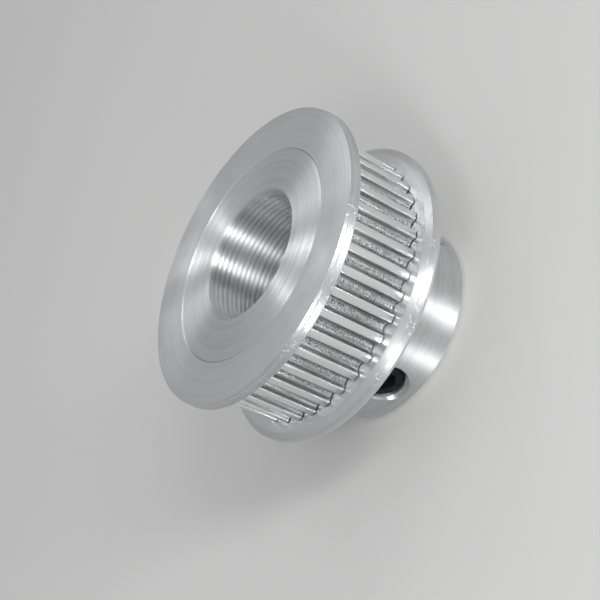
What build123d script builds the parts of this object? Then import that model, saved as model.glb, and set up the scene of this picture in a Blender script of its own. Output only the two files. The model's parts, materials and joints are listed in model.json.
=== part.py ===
from build123d import *

import os
from math import atan2, cos, degrees, pi, radians, sin

# A flanged timing belt pulley for a 2 mm pitch round-toothed belt, in millimetres.
# Its axis is Z. Z = 0 is the hub's end, and the front flange is at the top.
# A tooth is centred on +X.

# Teeth
TOOTH_COUNT = 40
BELT_PITCH = 2.0
PITCH_LINE_HEIGHT = 0.254  # from a tooth tip out to the belt's pitch line
FACE_WIDTH = 7.0  # the clear width between the flanges
GROOVE_DEPTH = 0.75
GROOVE_FLOOR_RADIUS = 0.555
GROOVE_FLANK_RADIUS = 1.0
GROOVE_FLANK_OFFSET = 0.4  # from the groove's middle to the centre of the opposite flank's arc
TIP_FILLET = 0.15

# Flanges
FLANGE_RADIUS = 14.0
FLANGE_THICKNESS = 1.4
FLANGE_RIM_THICKNESS = 1.0
FLANGE_FLAT_RADIUS = 13.43  # where the lead-in bevel towards the belt begins
FLANGE_EDGE_WIDTH = 0.1  # the narrow chamfer round the outer face, across and along the axis
FLANGE_EDGE_HEIGHT = 0.3
FLANGE_SEAM_BREAK = 0.05

# Body
SPIGOT_RADIUS = 10.0
SPIGOT_EDGE_WIDTH = 0.25  # the shallow bevel beside the seam with the flange
SPIGOT_EDGE_HEIGHT = 0.08
HUB_RADIUS = 9.0
HUB_LENGTH = 7.2
HUB_END_CHAMFER = 0.3
BORE_RADIUS = 6.0
BORE_EDGE_BREAK = 0.15
RING_CORE_RADIUS = 8.0  # the toothed ring runs in to here, inside the spigots

# M4 screw holes and their set screws
SCREW_ANGLES = {"front_set_screw": -90.0, "side_set_screw": 20.0}  # about Z, from +X
SCREW_Z = 3.3
HOLE_RADIUS = 1.95
SCREW_RADIUS = 1.9
COUNTERSINK_RADIUS = 2.3
THREAD_PITCH = 0.7
THREAD_DEPTH = 0.3
SCREW_LENGTH = 2.5
SCREW_END_CHAMFER = 0.25
SCREW_STAND_OFF = 0.05  # from the bore's radius out to the screw's point
SOCKET_WIDTH = 2.0  # across flats
SOCKET_DEPTH = 1.1
CUP_RADIUS = 1.0
CUP_DEPTH = 0.4
TOOL_CLEARANCE = 1.0  # how far a cutting shape runs past the metal

# Worked out from the sizes above
TIP_RADIUS = TOOTH_COUNT * BELT_PITCH / (2 * pi) - PITCH_LINE_HEIGHT
REAR_INNER_Z = HUB_LENGTH + FLANGE_THICKNESS
FRONT_INNER_Z = REAR_INNER_Z + FACE_WIDTH
FRONT_Z = FRONT_INNER_Z + FLANGE_THICKNESS
HALF_TOOTH_ANGLE = 180 / TOOTH_COUNT


def thread_points(crest_radius, depth, start, end):
    """V grooves one pitch apart along a straight side, between two heights. A negative depth cuts inwards."""
    count = int((end - start) / THREAD_PITCH)
    first = (start + end - count * THREAD_PITCH) / 2
    points = []
    for turn in range(count):
        low = first + turn * THREAD_PITCH
        points.append((crest_radius, low + THREAD_PITCH / 8))
        points.append((crest_radius + depth, low + THREAD_PITCH / 2))
        points.append((crest_radius, low + THREAD_PITCH * 7 / 8))
    return points


def radial_plane(angle, radius):
    """The plane at a distance from the pulley's axis, facing straight out along a screw hole."""
    outward = Vector(cos(radians(angle)), sin(radians(angle)), 0)
    return Plane(origin=outward * radius + Vector(0, 0, SCREW_Z), x_dir=(0, 0, 1), z_dir=outward)


# The shape that a screw hole cuts out, standing on the pulley's axis
with BuildPart() as screw_hole:
    with BuildSketch(Plane.XZ):
        with BuildLine():
            sink_depth = COUNTERSINK_RADIUS - HOLE_RADIUS
            Polyline(
                (0, BORE_RADIUS - TOOL_CLEARANCE),
                (HOLE_RADIUS, BORE_RADIUS - TOOL_CLEARANCE),
                *thread_points(HOLE_RADIUS, THREAD_DEPTH, BORE_RADIUS, HUB_RADIUS - sink_depth),
                (HOLE_RADIUS, HUB_RADIUS - sink_depth),
                (COUNTERSINK_RADIUS + TOOL_CLEARANCE, HUB_RADIUS + TOOL_CLEARANCE),
                (0, HUB_RADIUS + TOOL_CLEARANCE),
                close=True,
            )
        make_face()
    revolve(axis=Axis.Z)

# One groove between two teeth, centred on the sketch's vertical axis
with BuildSketch(Plane.XY) as groove:
    with BuildLine():
        half_width = GROOVE_FLANK_RADIUS - GROOVE_FLANK_OFFSET
        flank_turn = degrees(atan2(GROOVE_DEPTH - GROOVE_FLOOR_RADIUS, GROOVE_FLANK_OFFSET))
        CenterArc((-GROOVE_FLANK_OFFSET, TIP_RADIUS), GROOVE_FLANK_RADIUS, 0, -flank_turn)
        CenterArc(
            (0, TIP_RADIUS - GROOVE_DEPTH + GROOVE_FLOOR_RADIUS),
            GROOVE_FLOOR_RADIUS,
            -flank_turn,
            2 * flank_turn - 180,
        )
        CenterArc((GROOVE_FLANK_OFFSET, TIP_RADIUS), GROOVE_FLANK_RADIUS, 180 + flank_turn, -flank_turn)
        Polyline(
            (-half_width, TIP_RADIUS),
            (-half_width, TIP_RADIUS + GROOVE_DEPTH),
            (half_width, TIP_RADIUS + GROOVE_DEPTH),
            (half_width, TIP_RADIUS),
        )
    make_face()

# The turned and hobbed body: toothed rim, spigots, hub and bore in one piece
with BuildPart() as toothed_body:
    with BuildSketch(Plane.XZ):
        with BuildLine():
            Polyline(
                (BORE_RADIUS + BORE_EDGE_BREAK, 0),
                (HUB_RADIUS - HUB_END_CHAMFER, 0),
                (HUB_RADIUS, HUB_END_CHAMFER),
                (HUB_RADIUS, HUB_LENGTH),
                (SPIGOT_RADIUS - SPIGOT_EDGE_WIDTH, HUB_LENGTH),
                (SPIGOT_RADIUS, HUB_LENGTH + SPIGOT_EDGE_HEIGHT),
                (SPIGOT_RADIUS, FRONT_Z - SPIGOT_EDGE_HEIGHT),
                (SPIGOT_RADIUS - SPIGOT_EDGE_WIDTH, FRONT_Z),
                (BORE_RADIUS + BORE_EDGE_BREAK, FRONT_Z),
                (BORE_RADIUS, FRONT_Z - BORE_EDGE_BREAK),
                (BORE_RADIUS, BORE_EDGE_BREAK),
                close=True,
            )
        make_face()
    revolve(axis=Axis.Z)
    with BuildSketch(Plane.XY.offset(REAR_INNER_Z)) as toothed_ring:
        Circle(TIP_RADIUS)
        with PolarLocations(0, TOOTH_COUNT, start_angle=HALF_TOOTH_ANGLE):
            add(groove.sketch, mode=Mode.SUBTRACT)
        tip_corners = toothed_ring.vertices().filter_by(
            lambda corner: Vector(corner.X, corner.Y).length > TIP_RADIUS - GROOVE_DEPTH / 4
        )
        fillet(tip_corners, radius=TIP_FILLET)
        Circle(RING_CORE_RADIUS, mode=Mode.SUBTRACT)
    extrude(amount=FACE_WIDTH)
    for screw_angle in SCREW_ANGLES.values():
        with Locations(radial_plane(screw_angle, 0)):
            add(screw_hole.part, mode=Mode.SUBTRACT)
toothed_body.part.label = "toothed_body"


def flange(name, outer_z, inward):
    """A turned ring pressed over a spigot. inward is the way along Z from its outer face to the teeth."""
    inner_z = outer_z + inward * FLANGE_THICKNESS
    with BuildPart() as ring:
        with BuildSketch(Plane.XZ):
            with BuildLine():
                Polyline(
                    (SPIGOT_RADIUS, inner_z),
                    (FLANGE_FLAT_RADIUS, inner_z),
                    (FLANGE_RADIUS, outer_z + inward * FLANGE_RIM_THICKNESS),
                    (FLANGE_RADIUS, outer_z + inward * FLANGE_EDGE_HEIGHT),
                    (FLANGE_RADIUS - FLANGE_EDGE_WIDTH, outer_z),
                    (SPIGOT_RADIUS + FLANGE_SEAM_BREAK, outer_z),
                    (SPIGOT_RADIUS, outer_z + inward * FLANGE_SEAM_BREAK),
                    close=True,
                )
            make_face()
        revolve(axis=Axis.Z)
    ring.part.label = name
    return ring.part


# A socket set screw, standing on its cup point
with BuildPart() as set_screw:
    with BuildSketch(Plane.XZ):
        with BuildLine():
            Polyline(
                (0, 0),
                (SCREW_RADIUS - SCREW_END_CHAMFER, 0),
                (SCREW_RADIUS, SCREW_END_CHAMFER),
                *thread_points(SCREW_RADIUS, -THREAD_DEPTH, SCREW_END_CHAMFER, SCREW_LENGTH - SCREW_END_CHAMFER),
                (SCREW_RADIUS, SCREW_LENGTH - SCREW_END_CHAMFER),
                (SCREW_RADIUS - SCREW_END_CHAMFER, SCREW_LENGTH),
                (0, SCREW_LENGTH),
                close=True,
            )
        make_face()
    revolve(axis=Axis.Z)
    with BuildSketch(Plane.XY.offset(SCREW_LENGTH)):
        RegularPolygon(SOCKET_WIDTH / 2, 6, major_radius=False)
    extrude(amount=-SOCKET_DEPTH, mode=Mode.SUBTRACT)
    with Locations((0, 0, CUP_DEPTH / 2)):
        Cone(CUP_RADIUS, CUP_RADIUS - CUP_DEPTH, CUP_DEPTH, mode=Mode.SUBTRACT)


def placed_screw(name, angle):
    """A set screw in its hole, with its point just clear of the bore."""
    with BuildPart() as screw:
        with Locations(radial_plane(angle, BORE_RADIUS + SCREW_STAND_OFF)):
            add(set_screw.part)
    screw.part.label = name
    return screw.part


pieces = [
    toothed_body.part,
    flange("front_flange", FRONT_Z, -1),
    flange("rear_flange", HUB_LENGTH, 1),
]
for screw_name, screw_angle in SCREW_ANGLES.items():
    pieces.append(placed_screw(screw_name, screw_angle))

os.makedirs("parts", exist_ok=True)
for piece in pieces:
    export_step(piece, f"parts/{piece.label}.step")
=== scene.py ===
import json
from math import asin, atan2, cos, pi, radians, sin, tan

import bmesh
import bpy
from mathutils import Matrix, Vector


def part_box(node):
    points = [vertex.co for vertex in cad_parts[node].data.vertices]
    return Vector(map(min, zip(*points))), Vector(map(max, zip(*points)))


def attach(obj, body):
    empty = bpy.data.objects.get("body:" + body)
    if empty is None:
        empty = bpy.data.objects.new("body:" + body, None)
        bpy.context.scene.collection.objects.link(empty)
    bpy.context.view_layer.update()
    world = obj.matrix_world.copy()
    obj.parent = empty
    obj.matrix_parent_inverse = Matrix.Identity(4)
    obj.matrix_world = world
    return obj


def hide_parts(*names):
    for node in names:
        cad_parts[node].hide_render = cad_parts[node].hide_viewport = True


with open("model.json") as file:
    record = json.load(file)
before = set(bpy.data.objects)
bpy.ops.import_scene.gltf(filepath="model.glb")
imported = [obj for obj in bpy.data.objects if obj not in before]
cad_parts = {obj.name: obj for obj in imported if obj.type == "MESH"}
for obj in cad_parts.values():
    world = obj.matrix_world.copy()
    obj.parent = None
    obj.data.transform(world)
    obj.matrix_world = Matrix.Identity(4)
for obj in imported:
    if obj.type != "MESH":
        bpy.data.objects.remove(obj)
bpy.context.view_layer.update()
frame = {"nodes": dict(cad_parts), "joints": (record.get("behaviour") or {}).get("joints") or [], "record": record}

MM = 0.001

# ---- Sizes read from the frame, in millimetres ----
front_low, front_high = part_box("front_flange")
rear_low, rear_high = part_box("rear_flange")
screw_low, screw_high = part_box("front_set_screw")
mounts = {mount["name"]: mount for mount in frame["record"]["mounts"]}
FLANGE_RADIUS = front_high[0] / MM
FRONT_Z = front_high[2] / MM
FRONT_INNER_Z = front_low[2] / MM
REAR_INNER_Z = rear_high[2] / MM
HUB_LENGTH = rear_low[2] / MM
FLANGE_THICKNESS = FRONT_Z - FRONT_INNER_Z
BORE_RADIUS = mounts["bore"]["dims"]["r_mm"]
TIP_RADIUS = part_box("toothed_body")[1][0] / MM
SCREW_Z = (screw_low[2] + screw_high[2]) / 2 / MM
SCREW_RADIUS = (screw_high[0] - screw_low[0]) / 2 / MM
SCREW_DIRECTIONS = [Vector(joint["axis"]) for joint in frame["joints"]]

# ---- Sizes that the frame doesn't give, in millimetres ----
# Teeth
TOOTH_COUNT = 40
GROOVE_DEPTH = 0.75
GROOVE_FLOOR_RADIUS = 0.555
GROOVE_FLANK_RADIUS = 1.0
GROOVE_FLANK_OFFSET = 0.4  # from the groove's middle to the centre of the opposite flank's arc
TIP_FILLET = 0.15
TOOTH_END_GAP = 0.05  # the gap between the tooth ends and a flange; the dark line at this joint is painted shade on TOOTH_EDGE
TOOTH_EDGE = 0.05  # the bevel round each tooth end
RING_OVERLAP = 0.4  # how far the toothed ring runs in past the spigots' radius
GROOVE_SIDE_START = 0.06  # depths below the tips at which painted shade darkens the grooves, and at which the speckled tool marks set in on the groove floor
GROOVE_SIDE_END = 0.30
GROOVE_FLOOR_START = 0.48
GROOVE_FLOOR_END = 0.68
JOINT_SHADE = 0.02  # the part of TOOTH_EDGE painted fully dark, as painted shade in the joint

# Spigots, hub and bore
SPIGOT_RADIUS = 10.0
SPIGOT_EDGE_WIDTH = 0.25
SPIGOT_EDGE_HEIGHT = 0.08
SEAM_CLEARANCE = 0.01  # each side of the seam between spigot and flange
HUB_RADIUS = 9.0
HUB_END_CHAMFER = 0.3
BORE_EDGE = 0.15
BORE_LAND = 0.02  # how far outside the bore's radius its plain ends stand
BORE_LAND_END = 0.2  # from an end of the pulley in to the first ridge
BORE_RIDGE_PITCH = 0.5
BORE_RIDGE_DEPTH = 0.05
RIDGE_SAMPLES = 5

# Screw holes
HOLE_CLEARANCE = 0.05
COUNTERSINK_RADIUS = 2.3
THREAD_PITCH = 0.7
THREAD_DEPTH = 0.3
THREAD_LAND = THREAD_PITCH / 8  # half of the flat between two thread grooves
CUT_PAST = 1.0  # how far a cutting shape runs past the metal
NEAR_AXIS = 0.001

# Flanges
FLANGE_RIM_THICKNESS = 1.0
FLANGE_FLAT_RADIUS = 13.43
FLANGE_EDGE_WIDTH = 0.1
FLANGE_EDGE_HEIGHT = 0.3
FLANGE_SEAM_CHAMFER = 0.1
RIM_GROOVES = 4
RIM_GROOVE_DEPTH = 0.035
RIM_LAND = 0.06  # the plain band on each side of the rim's grooves

# Radii of the rounded edges, from the softest to the crispest
HUB_ROUNDING = 0.08
CORNER_ROUNDING = 0.05
BORE_ROUNDING = 0.04
RIM_ROUNDING = 0.03
SEAM_ROUNDING = 0.02

# ---- Mesh density: steps once round, steps along an arc, and the sharpest smooth edge in degrees ----
LATHE_STEPS = 384
FLANGE_STEPS = 576
HOLE_STEPS = 96
GROOVE_ARC_STEPS = 4
EDGE_ARC_STEPS = 3
CORE_SMOOTH_ANGLE = 32
TEETH_SMOOTH_ANGLE = 40
FLANGE_SMOOTH_ANGLE = 20

# ---- Looks: colours, and how many lines or spots a metre has ----
TURNED_DARK = (0.60, 0.605, 0.615, 1)
TURNED_LIGHT = (0.84, 0.845, 0.85, 1)
HOBBED_TIP = (0.74, 0.745, 0.75, 1)
# painted shade: the colour the grooves between the teeth are darkened to
GROOVE_PAINTED_SHADE = (0.13, 0.13, 0.133, 1)
# painted shade for the crevice where the tooth ends meet a flange
JOINT_PAINTED_SHADE = (0.02, 0.02, 0.02, 1)
OXIDE_DARK = (0.004, 0.004, 0.005, 1)
OXIDE_WORN = (0.015, 0.015, 0.017, 1)
FLOOR_COLOUR = (0.55, 0.55, 0.542, 1)
ROOM_COLOUR = (0.98, 0.99, 1.0, 1)
FINE_MARKS = 16000
WIDE_MARKS = 2200
SPIGOT_RINGS = 1500
BLOTCHES = 260
NICKS = 2600
SPECKLES = 5600
SPECKLE_SQUASH = (1.0, 1.0, 1.7)  # feed marks run across the teeth
WEAR_PATCHES = 1500

# ---- Stage: metres, degrees and watts ----
CAMERA_PLACE = (0.0701, -0.1016, 0.0797)
LINE_OF_SIGHT = (-0.5051, 0.7107, -0.4896)
PICTURE_UP = (0.6145, 0.6946, 0.3740)
LENS_MM = 96
SENSOR_WIDTH_MM = 36
NEAREST_SEEN = 0.005
FLOOR_HALF_WIDTH = 12.0
ROOM_AT_HORIZON = 0.30
ROOM_OVERHEAD = 0.66
LAMPS = [
    # name, bearing round Z from +X, angle above the floor, distance, width, height, power
    ("key_softbox", -22, 26, 0.35, 0.07, 0.28, 0.80),
    ("second_softbox", -75, 26, 0.35, 0.05, 0.26, 0.58),
    ("back_softbox", 88, 42, 0.40, 0.16, 0.16, 0.10),
    ("side_softbox", 42, 38, 0.40, 0.15, 0.15, 0.10),
]


# ---- Mesh tools ----
def rounded(corners):
    """The points of a closed outline of (r, z, radius) corners, each corner turned into an arc."""
    outline = []
    count = len(corners)
    for i, (r, z, radius) in enumerate(corners):
        here = Vector((r, z))
        if radius == 0:
            outline.append(here)
            continue
        to_last = (Vector(corners[i - 1][:2]) - here).normalized()
        to_next = (Vector(corners[(i + 1) % count][:2]) - here).normalized()
        half = to_last.angle(to_next) / 2
        middle = here + (to_last + to_next).normalized() * radius / sin(half)
        start = here + to_last * radius / tan(half) - middle
        turn = start.angle_signed(here + to_next * radius / tan(half) - middle)
        for step in range(EDGE_ARC_STEPS + 1):
            spoke = Matrix.Rotation(-turn * step / EDGE_ARC_STEPS, 2) @ start
            outline.append(middle + spoke)
    return outline


def piece_from_loops(name, loops):
    """A closed ring of quads from loops that each go once round the axis. Points are in millimetres."""
    size = len(loops[0])
    points = [tuple(c * MM for c in point) for loop in loops for point in loop]
    faces = []
    for i in range(len(loops)):
        j = (i + 1) % len(loops)
        for k in range(size):
            m = (k + 1) % size
            faces.append((i * size + k, i * size + m, j * size + m, j * size + k))
    mesh = bpy.data.meshes.new(name)
    mesh.from_pydata(points, [], faces)
    mesh.validate()
    piece = bpy.data.objects.new(name, mesh)
    bpy.context.scene.collection.objects.link(piece)
    turn_faces_out(piece)
    return piece


def lathe(name, outline, steps):
    """Turns a closed outline of (r, z) points once round Z."""
    angles = [2 * pi * k / steps for k in range(steps)]
    return piece_from_loops(name, [[(r * cos(a), r * sin(a), z) for a in angles] for r, z in outline])


def turn_faces_out(piece):
    """Turns a closed mesh's faces outwards."""
    work = bmesh.new()
    work.from_mesh(piece.data)
    bmesh.ops.recalc_face_normals(work, faces=work.faces)
    work.to_mesh(piece.data)
    work.free()


def smooth(piece, angle):
    """Smooth shading with the real edges kept crisp."""
    piece.data.shade_smooth()
    piece.data.set_sharp_from_angle(angle=radians(angle))


def cut(piece, cutter):
    """Takes the cutter's shape out of the piece."""
    modifier = piece.modifiers.new("cut", "BOOLEAN")
    modifier.operation = "DIFFERENCE"
    modifier.solver = "EXACT"
    modifier.object = cutter
    result = bpy.data.meshes.new_from_object(piece.evaluated_get(bpy.context.evaluated_depsgraph_get()))
    piece.modifiers.clear()
    piece.data = result
    bpy.data.objects.remove(cutter)


# ---- Shapes ----
def screw_hole_cutter(direction):
    """A threaded, countersunk hole's shape, along a screw's own line."""
    wall = SCREW_RADIUS + HOLE_CLEARANCE
    mouth = HUB_RADIUS - (COUNTERSINK_RADIUS - wall)
    count = int((mouth - BORE_RADIUS) / THREAD_PITCH)
    first = (BORE_RADIUS + mouth - count * THREAD_PITCH) / 2
    outline = [(NEAR_AXIS, BORE_RADIUS - CUT_PAST), (wall, BORE_RADIUS - CUT_PAST)]
    for turn in range(count):
        low = first + turn * THREAD_PITCH
        outline.append((wall, low + THREAD_LAND))
        outline.append((wall + THREAD_DEPTH, low + THREAD_PITCH / 2))
        outline.append((wall, low + THREAD_PITCH - THREAD_LAND))
    outline.append((wall, mouth))
    outline.append((COUNTERSINK_RADIUS + CUT_PAST, HUB_RADIUS + CUT_PAST))
    outline.append((NEAR_AXIS, HUB_RADIUS + CUT_PAST))
    cutter = lathe("hole_cutter", outline, HOLE_STEPS)
    turn = Vector((0, 0, 1)).rotation_difference(direction).to_matrix().to_4x4()
    cutter.data.transform(Matrix.Translation((0, 0, SCREW_Z * MM)) @ turn)
    return cutter


def bore_ridges():
    """The feed marks of the boring tool: shallow rounded ridges, from the top of the bore down."""
    top, bottom = FRONT_Z - BORE_LAND_END, BORE_LAND_END
    count = round((top - bottom) / BORE_RIDGE_PITCH * RIDGE_SAMPLES)
    points = []
    for i in range(1, count):
        z = top - (top - bottom) * i / count
        wave = abs(cos(pi * z / BORE_RIDGE_PITCH))
        points.append((BORE_RADIUS + BORE_RIDGE_DEPTH * (1 - wave), z, 0))
    return points


def make_core():
    """Spigots, hub and bore, with the screw holes cut through."""
    spigot = SPIGOT_RADIUS - SEAM_CLEARANCE
    bore_end = BORE_RADIUS + BORE_LAND
    corners = [
        (BORE_RADIUS + BORE_EDGE, 0, BORE_ROUNDING),
        (HUB_RADIUS - HUB_END_CHAMFER, 0, HUB_ROUNDING),
        (HUB_RADIUS, HUB_END_CHAMFER, HUB_ROUNDING),
        (HUB_RADIUS, HUB_LENGTH, CORNER_ROUNDING),
        (SPIGOT_RADIUS - SPIGOT_EDGE_WIDTH, HUB_LENGTH, SEAM_ROUNDING),
        (spigot, HUB_LENGTH + SPIGOT_EDGE_HEIGHT, 0),
        (spigot, FRONT_Z - SPIGOT_EDGE_HEIGHT, 0),
        (SPIGOT_RADIUS - SPIGOT_EDGE_WIDTH, FRONT_Z, SEAM_ROUNDING),
        (bore_end + BORE_EDGE, FRONT_Z, BORE_ROUNDING),
        (bore_end, FRONT_Z - BORE_EDGE, 0),
    ]
    corners += bore_ridges()
    corners.append((bore_end, BORE_EDGE, 0))
    core = lathe("pulley_core", rounded(corners), LATHE_STEPS)
    for direction in SCREW_DIRECTIONS:
        cut(core, screw_hole_cutter(direction))
    smooth(core, CORE_SMOOTH_ANGLE)
    return core


def tooth_outline():
    """(angle, radius) once round the teeth, with a tooth centred on +X."""
    steps = GROOVE_ARC_STEPS
    turn = atan2(GROOVE_DEPTH - GROOVE_FLOOR_RADIUS, GROOVE_FLANK_OFFSET)
    fillet_angle = asin(TIP_FILLET / GROOVE_FLANK_RADIUS)
    half = []
    for i in range(steps + 1):
        a = -pi / 2 + (pi / 2 - turn) * i / steps
        half.append((GROOVE_FLOOR_RADIUS * cos(a), GROOVE_FLOOR_RADIUS * (1 + sin(a)) - GROOVE_DEPTH))
    for i in range(1, steps + 1):
        a = -turn + (turn - fillet_angle) * i / steps
        half.append((GROOVE_FLANK_RADIUS * cos(a) - GROOVE_FLANK_OFFSET, GROOVE_FLANK_RADIUS * sin(a)))
    edge = half[-1][0]
    for i in range(1, steps + 1):
        a = pi - pi / 2 * i / steps
        half.append((edge + TIP_FILLET * (1 + cos(a)), TIP_FILLET * (sin(a) - 1)))
    groove = [(-x, y) for x, y in reversed(half[1:])] + half
    outline = []
    for tooth in range(TOOTH_COUNT):
        middle = 2 * pi * (tooth + 0.5) / TOOTH_COUNT
        for x, y in groove:
            outline.append((middle + x / TIP_RADIUS, TIP_RADIUS + y))
    return outline


def make_teeth():
    """The hobbed ring of teeth between the flanges."""
    outline = tooth_outline()
    low, high = REAR_INNER_Z + TOOTH_END_GAP, FRONT_INNER_Z - TOOTH_END_GAP
    inner = SPIGOT_RADIUS - RING_OVERLAP

    def loop(z, inset):
        return [((r - inset) * cos(a), (r - inset) * sin(a), z) for a, r in outline]

    def inner_loop(z):
        return [(inner * cos(a), inner * sin(a), z) for a, r in outline]

    loops = [inner_loop(low), loop(low, TOOTH_EDGE), loop(low + TOOTH_EDGE, 0)]
    loops += [loop(high - TOOTH_EDGE, 0), loop(high, TOOTH_EDGE), inner_loop(high)]
    teeth = piece_from_loops("pulley_teeth", loops)
    smooth(teeth, TEETH_SMOOTH_ANGLE)
    return teeth


def make_flange(name, outer_z, inward):
    """A turned flange with rounded edges and fine grooves round its rim. inward is 1 up, -1 down."""
    inner_z = outer_z + inward * FLANGE_THICKNESS
    seam = SPIGOT_RADIUS + SEAM_CLEARANCE
    corners = [
        (seam, inner_z, 0),
        (FLANGE_FLAT_RADIUS, inner_z, HUB_ROUNDING),
        (FLANGE_RADIUS, outer_z + inward * FLANGE_RIM_THICKNESS, RIM_ROUNDING),
    ]
    rim_start = FLANGE_RIM_THICKNESS - RIM_LAND
    rim_step = (rim_start - FLANGE_EDGE_HEIGHT - RIM_LAND) / RIM_GROOVES
    for groove in range(RIM_GROOVES):
        top = rim_start - groove * rim_step
        corners.append((FLANGE_RADIUS, outer_z + inward * top, 0))
        corners.append((FLANGE_RADIUS - RIM_GROOVE_DEPTH, outer_z + inward * (top - rim_step / 2), 0))
    corners += [
        (FLANGE_RADIUS, outer_z + inward * FLANGE_EDGE_HEIGHT, SEAM_ROUNDING),
        (FLANGE_RADIUS - FLANGE_EDGE_WIDTH, outer_z, RIM_ROUNDING),
        (seam + FLANGE_SEAM_CHAMFER, outer_z, SEAM_ROUNDING),
        (seam, outer_z + inward * FLANGE_SEAM_CHAMFER, 0),
    ]
    flange = lathe(name, rounded(corners), FLANGE_STEPS)
    smooth(flange, FLANGE_SMOOTH_ANGLE)
    return flange


# ---- Materials ----
class Nodes:
    """Short calls for building one material's nodes."""

    def __init__(self, name):
        self.material = bpy.data.materials.new(name)
        self.material.use_nodes = True
        self.tree = self.material.node_tree
        self.shader = self.tree.nodes["Principled BSDF"]

    def add(self, kind, **settings):
        node = self.tree.nodes.new(kind)
        for key, value in settings.items():
            setattr(node, key, value)
        return node

    def put(self, value, socket):
        """Gives a socket a plain number or colour, or links another node's output to it."""
        if isinstance(value, (int, float, tuple)):
            socket.default_value = value
        else:
            self.tree.links.new(value, socket)

    def shade(self, **values):
        """Puts each value in the shader's socket of that name, with underscores for spaces."""
        for key, value in values.items():
            self.put(value, self.shader.inputs[key.replace("_", " ")])

    def math(self, operation, a, b):
        node = self.add("ShaderNodeMath", operation=operation)
        self.put(a, node.inputs[0])
        self.put(b, node.inputs[1])
        return node.outputs[0]

    def ramp(self, value, low, high, to_low, to_high):
        """Carries low..high over to to_low..to_high, and holds the ends."""
        node = self.add("ShaderNodeMapRange")
        names = ("Value", "From Min", "From Max", "To Min", "To Max")
        for name, number in zip(names, (value, low, high, to_low, to_high)):
            self.put(number, node.inputs[name])
        return node.outputs["Result"]

    def blend(self, factor, first, second):
        """Goes from the first colour to the second as the factor goes from 0 to 1."""
        node = self.add("ShaderNodeMix", data_type="RGBA")
        colours = [socket for socket in node.inputs if socket.type == "RGBA"]
        self.put(factor, node.inputs["Factor"])
        self.put(first, colours[0])
        self.put(second, colours[1])
        return [socket for socket in node.outputs if socket.type == "RGBA"][0]

    def noise(self, vector, scale, detail):
        node = self.add("ShaderNodeTexNoise")
        self.put(vector, node.inputs["Vector"])
        self.put(scale, node.inputs["Scale"])
        self.put(detail, node.inputs["Detail"])
        return node.outputs["Fac"]

    def bump(self, height, distance, strength, after=None):
        node = self.add("ShaderNodeBump")
        self.put(distance, node.inputs["Distance"])
        self.put(strength, node.inputs["Strength"])
        self.put(height, node.inputs["Height"])
        if after is not None:
            self.put(after, node.inputs["Normal"])
        return node.outputs["Normal"]


def place_on_pulley(nodes):
    """A point's place, its distance from the axis and its height."""
    place = nodes.add("ShaderNodeTexCoord").outputs["Object"]
    parts = nodes.add("ShaderNodeSeparateXYZ")
    nodes.put(place, parts.inputs[0])
    x, y, z = parts.outputs
    square = nodes.math("ADD", nodes.math("POWER", x, 2), nodes.math("POWER", y, 2))
    return place, nodes.math("SQRT", square, 0), z


def line_noise(nodes, value, lines):
    """Noise along one number, in lines."""
    node = nodes.add("ShaderNodeTexNoise", noise_dimensions="1D")
    nodes.put(nodes.math("MULTIPLY", value, lines), node.inputs["W"])
    nodes.put(1.0, node.inputs["Scale"])
    nodes.put(2.0, node.inputs["Detail"])
    return node.outputs["Fac"]


def gloss_across_feed_marks(nodes, anisotropy):
    """Spreads the gloss across tool marks that run round the axis."""
    tangent = nodes.add("ShaderNodeTangent", direction_type="RADIAL", axis="Z")
    nodes.shade(Anisotropic=anisotropy, Anisotropic_Rotation=0.25, Tangent=tangent.outputs[0])


def turned_aluminium(name, roughness, anisotropy):
    """Bare aluminium with turning marks, faint rings, blotches and small nicks."""
    nodes = Nodes(name)
    place, radius, height = place_on_pulley(nodes)
    across = nodes.math("ADD", radius, height)  # changes across the marks on a face and on a cylinder alike
    blotch = nodes.noise(place, BLOTCHES, 3)
    wide = nodes.math("MULTIPLY", line_noise(nodes, across, WIDE_MARKS), 0.6)
    tone = nodes.math("ADD", wide, nodes.math("MULTIPLY", blotch, 0.4))

    near_rim = nodes.ramp(radius, (FLANGE_RADIUS - 0.25) * MM, (FLANGE_RADIUS - 0.1) * MM, 0.0, 0.18)
    nicks = nodes.ramp(nodes.math("ADD", nodes.noise(place, NICKS, 1), near_rim), 0.80, 0.84, 0.0, 1.0)

    on_spigot = nodes.ramp(radius, SPIGOT_RADIUS * MM, (SPIGOT_RADIUS - 0.6) * MM, 0.0, 1.0)
    rings = nodes.ramp(line_noise(nodes, across, SPIGOT_RINGS), 0.52, 0.66, 0.0, 0.07)
    rough = nodes.ramp(blotch, 0.3, 0.7, roughness - 0.05, roughness + 0.06)
    rough = nodes.math("ADD", rough, nodes.math("MULTIPLY", rings, on_spigot))
    rough = nodes.math("ADD", rough, nodes.math("MULTIPLY", nicks, 0.15))

    marks = nodes.bump(line_noise(nodes, across, FINE_MARKS), 0.01 * MM, 0.25)
    nodes.shade(
        Base_Color=nodes.blend(tone, TURNED_DARK, TURNED_LIGHT),
        Metallic=1.0,
        Roughness=rough,
        Normal=nodes.bump(nicks, 0.02 * MM, 0.45, marks),
    )
    gloss_across_feed_marks(nodes, anisotropy)
    return nodes.material


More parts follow.
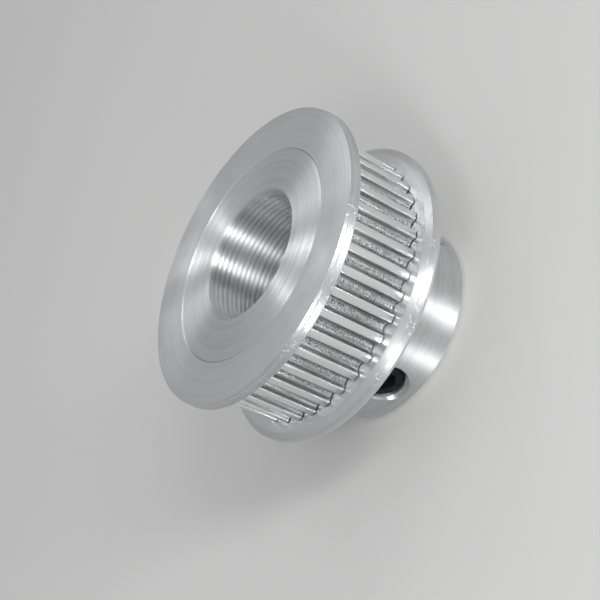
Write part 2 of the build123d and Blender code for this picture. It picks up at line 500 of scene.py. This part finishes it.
def hobbed_aluminium_painted_shade():
    """Bare aluminium cut by a hob: light tips, groove sides and floor darkened with painted shade, speckled tool
    marks on the groove floor, and painted shade at the joints with the flanges.
    """
    nodes = Nodes("hobbed_aluminium_painted_shade")
    place, radius, height = place_on_pulley(nodes)
    squash = nodes.add("ShaderNodeMapping")
    nodes.put(place, squash.inputs["Vector"])
    nodes.put(SPECKLE_SQUASH, squash.inputs["Scale"])
    speckle = nodes.noise(squash.outputs[0], SPECKLES, 3)

    def below_tip(start, end, at_tip):
        return nodes.ramp(radius, (TIP_RADIUS - end) * MM, (TIP_RADIUS - start) * MM, 1.0, at_tip)

    # in_groove masks the painted shade in the grooves and also raises their roughness
    in_groove = below_tip(GROOVE_SIDE_START, GROOVE_SIDE_END, 0.0)
    on_floor = below_tip(GROOVE_FLOOR_START, GROOVE_FLOOR_END, 0.12)
    marks = nodes.math("MULTIPLY", nodes.ramp(speckle, 0.36, 0.62, -0.33, 0.33), on_floor)
    # painted shade in the grooves, with speckled tool marks on the groove floor
    groove_painted_shade_and_marks = nodes.math("MULTIPLY", in_groove, nodes.math("ADD", marks, 0.55))
    metal = nodes.blend(groove_painted_shade_and_marks, HOBBED_TIP, GROOVE_PAINTED_SHADE)

    low, high = REAR_INNER_Z + TOOTH_END_GAP, FRONT_INNER_Z - TOOTH_END_GAP
    # painted shade darkening the tooth ends where they meet the flanges
    rear_joint_painted_shade = nodes.ramp(height, (low + JOINT_SHADE) * MM, (low + TOOTH_EDGE) * MM, 1.0, 0.0)
    front_joint_painted_shade = nodes.ramp(height, (high - TOOTH_EDGE) * MM, (high - JOINT_SHADE) * MM, 0.0, 1.0)
    nodes.shade(
        Base_Color=nodes.blend(nodes.math("ADD", rear_joint_painted_shade, front_joint_painted_shade), metal, JOINT_PAINTED_SHADE),
        Metallic=1.0,
        Roughness=nodes.math("ADD", nodes.math("MULTIPLY", in_groove, 0.08), 0.24),
        Normal=nodes.bump(nodes.math("MULTIPLY", speckle, on_floor), 0.1 * MM, 0.7),
    )
    gloss_across_feed_marks(nodes, 0.7)
    return nodes.material


def black_steel():
    """Black oxide on a small screw, worn lighter in patches."""
    nodes = Nodes("black_oxide_steel")
    place = nodes.add("ShaderNodeTexCoord").outputs["Object"]
    patches = nodes.noise(place, WEAR_PATCHES, 3)
    nodes.shade(
        Base_Color=nodes.blend(nodes.ramp(patches, 0.4, 0.7, 0.0, 1.0), OXIDE_DARK, OXIDE_WORN),
        Roughness=nodes.ramp(patches, 0.3, 0.7, 0.5, 0.65),
        Specular_IOR_Level=0.2,
        Normal=nodes.bump(patches, 0.02 * MM, 0.3),
    )
    return nodes.material


def floor_material():
    """Plain pale matt floor."""
    nodes = Nodes("pale_floor")
    nodes.shade(Base_Color=FLOOR_COLOUR, Roughness=0.85)
    return nodes.material


def dress(piece, material):
    piece.data.materials.clear()
    piece.data.materials.append(material)


# ---- Build ----
face_metal = turned_aluminium("turned_aluminium", roughness=0.36, anisotropy=0.85)
body_metal = turned_aluminium("machined_aluminium", roughness=0.42, anisotropy=0.95)
made = [
    (make_core(), "toothed_body", "machined_aluminium", body_metal),
    (make_teeth(), "toothed_body", "machined_aluminium", hobbed_aluminium_painted_shade()),
    (make_flange("front_flange_turned", FRONT_Z, -1), "front_flange", "turned_aluminium", face_metal),
    (make_flange("rear_flange_turned", HUB_LENGTH, 1), "rear_flange", "turned_aluminium", face_metal),
]
for piece, node, slot, material in made:
    dress(piece, material)
    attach(piece, "pulley")
    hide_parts(node)

screw_metal = black_steel()
for name in ("front_set_screw", "side_set_screw"):
    for material_slot in frame["nodes"][name].material_slots:
        material_slot.material = screw_metal


# ---- Stage ----
def make_floor():
    half = FLOOR_HALF_WIDTH
    corners = [(-half, -half, 0), (half, -half, 0), (half, half, 0), (-half, half, 0)]
    mesh = bpy.data.meshes.new("floor")
    mesh.from_pydata(corners, [], [(0, 1, 2, 3)])
    floor = bpy.data.objects.new("floor", mesh)
    bpy.context.scene.collection.objects.link(floor)
    dress(floor, floor_material())


def make_room():
    """A plain soft grey room, lighter overhead."""
    world = bpy.data.worlds.new("room")
    bpy.context.scene.world = world
    world.use_nodes = True
    tree = world.node_tree
    background = tree.nodes["Background"]
    background.inputs["Color"].default_value = ROOM_COLOUR
    direction = tree.nodes.new("ShaderNodeTexCoord").outputs["Generated"]
    height = tree.nodes.new("ShaderNodeSeparateXYZ")
    tree.links.new(direction, height.inputs[0])
    rise = tree.nodes.new("ShaderNodeMapRange")
    rise.inputs["To Min"].default_value = ROOM_AT_HORIZON
    rise.inputs["To Max"].default_value = ROOM_OVERHEAD
    tree.links.new(height.outputs["Z"], rise.inputs["Value"])
    tree.links.new(rise.outputs["Result"], background.inputs["Strength"])


def make_camera():
    """The photographer's place, turned about the line of sight as the pulley leaned."""
    data = bpy.data.cameras.new("camera")
    data.lens = LENS_MM
    data.sensor_width = SENSOR_WIDTH_MM
    data.clip_start = NEAREST_SEEN
    camera = bpy.data.objects.new("camera", data)
    forward = Vector(LINE_OF_SIGHT).normalized()
    up = Vector(PICTURE_UP)
    up = (up - up.dot(forward) * forward).normalized()
    turn = Matrix((forward.cross(up), up, -forward)).transposed()
    camera.matrix_world = Matrix.Translation(CAMERA_PLACE) @ turn.to_4x4()
    bpy.context.scene.collection.objects.link(camera)
    bpy.context.scene.camera = camera


def soft_light(name, bearing, rise, distance, width, height, power):
    """A rectangular lamp that faces the pulley."""
    lamp = bpy.data.lights.new(name, "AREA")
    lamp.shape = "RECTANGLE"
    lamp.size = width
    lamp.size_y = height
    lamp.energy = power
    holder = bpy.data.objects.new(name, lamp)
    a, e = radians(bearing), radians(rise)
    away = Vector((cos(a) * cos(e), sin(a) * cos(e), sin(e)))
    holder.location = away * distance + Vector((0, 0, FRONT_Z * MM / 2))
    holder.rotation_euler = away.to_track_quat("Z", "Y").to_euler()
    bpy.context.scene.collection.objects.link(holder)


make_floor()
make_room()
make_camera()
for lamp in LAMPS:
    soft_light(*lamp)

bpy.context.scene.view_settings.view_transform = "Standard"
